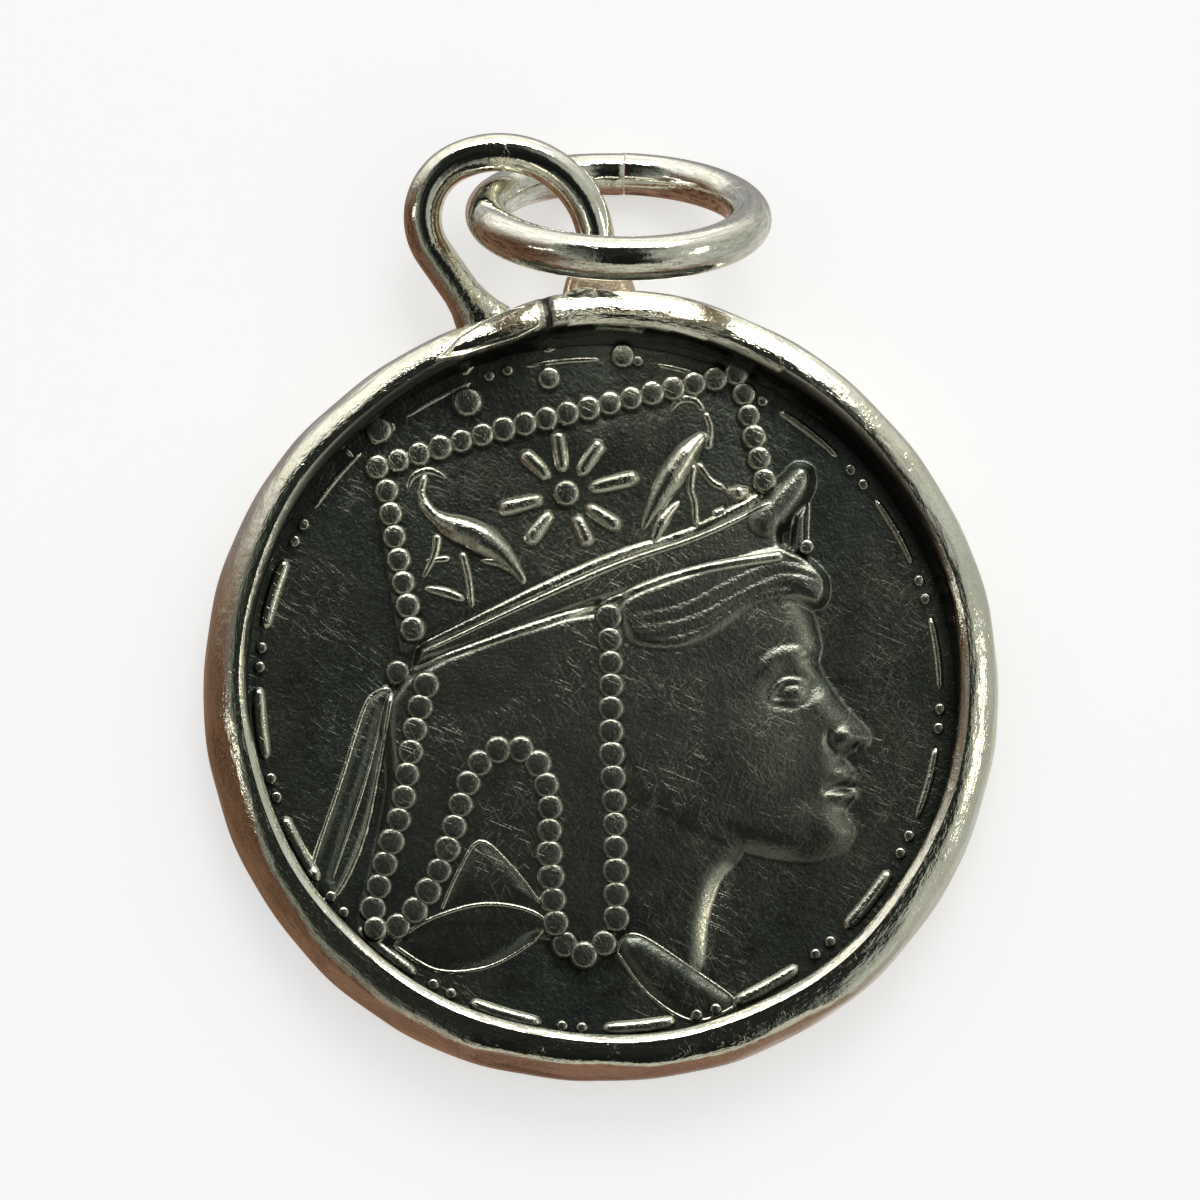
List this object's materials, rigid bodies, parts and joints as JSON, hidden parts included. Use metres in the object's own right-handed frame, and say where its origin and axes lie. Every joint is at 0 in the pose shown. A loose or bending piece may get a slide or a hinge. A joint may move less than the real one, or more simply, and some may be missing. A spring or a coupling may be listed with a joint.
{
  "type": "coin pendant",
  "caption": "Struck coin with a crowned profile head, held in a swelling round frame, with a soldered wire loop and a leaning split jump ring for a chain.",
  "frame": {"origin": "on the coin's axis, in the plane of the frame's back lip, where the pendant lies on a table", "axes": "+Z out of the coin's face, +Y from the coin towards the wire loop, +X to the right of the loop as the face is seen"},
  "size_m": [0.02, 0.0246, 0.0065],
  "materials": {
    "coin_metal": "oxidised silver, satin, with fine scratches",
    "frame_metal": "polished silver, lightly worn",
    "ring_metal": "polished silver"
  },
  "bodies": {
    "root": {"coin": "coin_metal", "frame": "frame_metal", "jump_ring": "ring_metal"}
  },
  "joints": []
}
